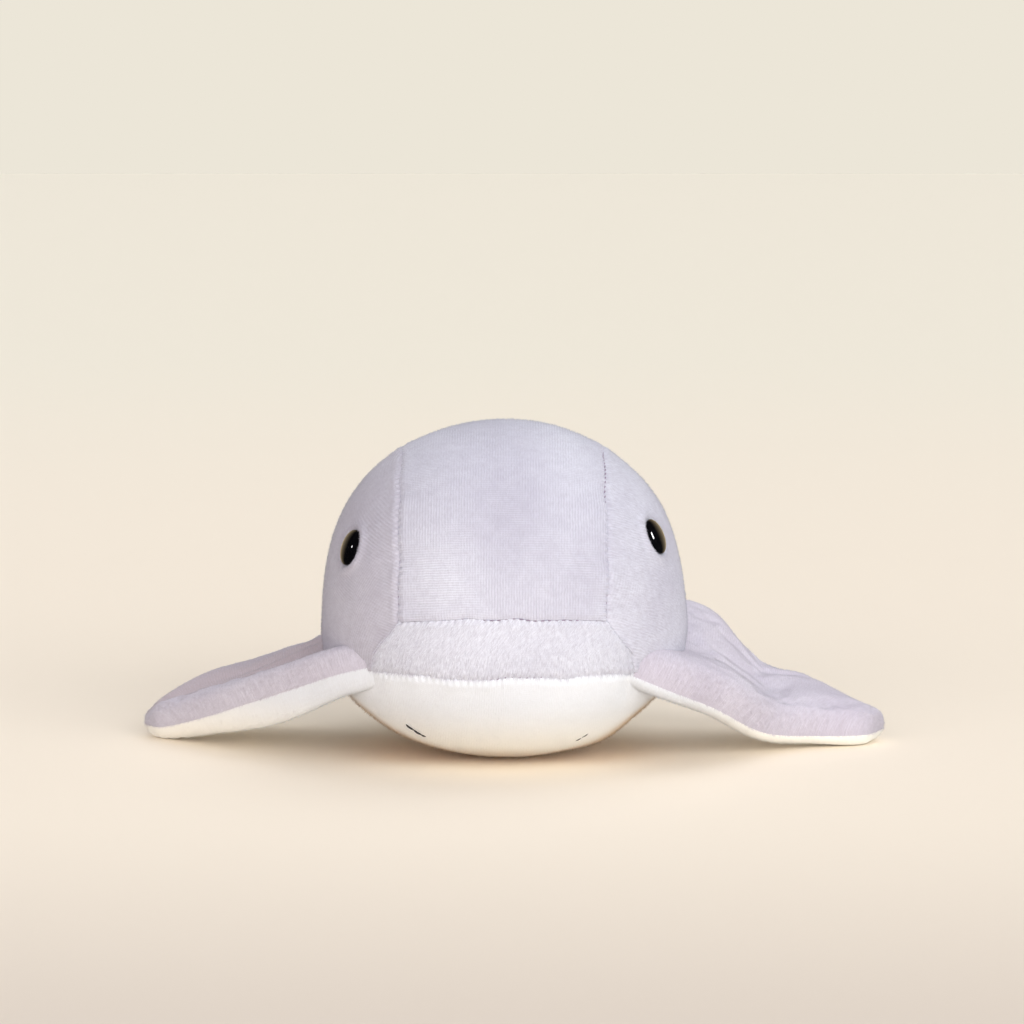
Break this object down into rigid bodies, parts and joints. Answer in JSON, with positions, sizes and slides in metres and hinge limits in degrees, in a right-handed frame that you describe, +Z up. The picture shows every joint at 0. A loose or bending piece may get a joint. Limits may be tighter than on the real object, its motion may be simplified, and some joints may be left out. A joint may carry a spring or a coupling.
{
  "type": "plush stingray",
  "caption": "Domed plush stingray toy sewn from lavender and white panels, with drooping stuffed wings, glossy safety eyes, a stitched smile and a stuffed tail.",
  "frame": {"origin": "middle of the flat patch of belly that the toy rests on", "axes": "+Z up from the table, the toy faces -Y, +X is the toy's own left"},
  "size_m": [0.2742, 0.2884, 0.1193],
  "materials": {
    "lavender_plush": "short pile",
    "white_plush": "short pile",
    "fibre_fill": "loose fibre",
    "lavender_thread": "spun thread",
    "dark_thread": "spun thread",
    "black_plastic": "polished",
    "natural_plastic": "moulded"
  },
  "bodies": {
    "body": {"crown_panel": "lavender_plush", "left_cheek_panel": "lavender_plush", "right_cheek_panel": "lavender_plush", "snout_panel": "lavender_plush", "belly_panel": "white_plush", "body_stuffing": "fibre_fill", "left_eye": "black_plastic", "right_eye": "black_plastic", "left_eye_washer": "natural_plastic", "right_eye_washer": "natural_plastic", "left_crown_seam_thread": "lavender_thread", "right_crown_seam_thread": "lavender_thread", "snout_seam_thread": "lavender_thread", "belly_seam_thread": "lavender_thread", "mouth_thread": "dark_thread"},
    "left_wing": {"left_wing_top": "lavender_plush", "left_wing_underside": "white_plush", "left_wing_batting": "fibre_fill", "left_wing_seam_thread": "lavender_thread"},
    "right_wing": {"right_wing_top": "lavender_plush", "right_wing_underside": "white_plush", "right_wing_batting": "fibre_fill", "right_wing_seam_thread": "lavender_thread"},
    "tail_knot": {"tail_root_knot": "lavender_thread"},
    "tail": {"tail_upper_panel": "lavender_plush", "tail_lower_panel": "white_plush", "tail_stuffing": "fibre_fill", "tail_seam_thread": "lavender_thread"}
  },
  "joints": [
    {"name": "left_wing_flap", "type": "hinge", "parent": "body", "child": "left_wing", "pos_m": [0.062, 0, 0.042], "axis": [0, -1, 0], "range_deg": [0, 50], "stiffness_Nm_per_rad": 0.06},
    {"name": "right_wing_flap", "type": "hinge", "parent": "body", "child": "right_wing", "pos_m": [-0.062, 0, 0.042], "axis": [0, 1, 0], "range_deg": [0, 50], "stiffness_Nm_per_rad": 0.06},
    {"name": "tail_swing", "type": "hinge", "parent": "body", "child": "tail_knot", "pos_m": [0, 0.1013, 0.047], "axis": [0, 0, 1], "range_deg": [-35, 35], "stiffness_Nm_per_rad": 0.01},
    {"name": "tail_lift", "type": "hinge", "parent": "tail_knot", "child": "tail", "pos_m": [0, 0.1013, 0.047], "axis": [1, 0, 0], "range_deg": [0, 40], "stiffness_Nm_per_rad": 0.01}
  ]
}
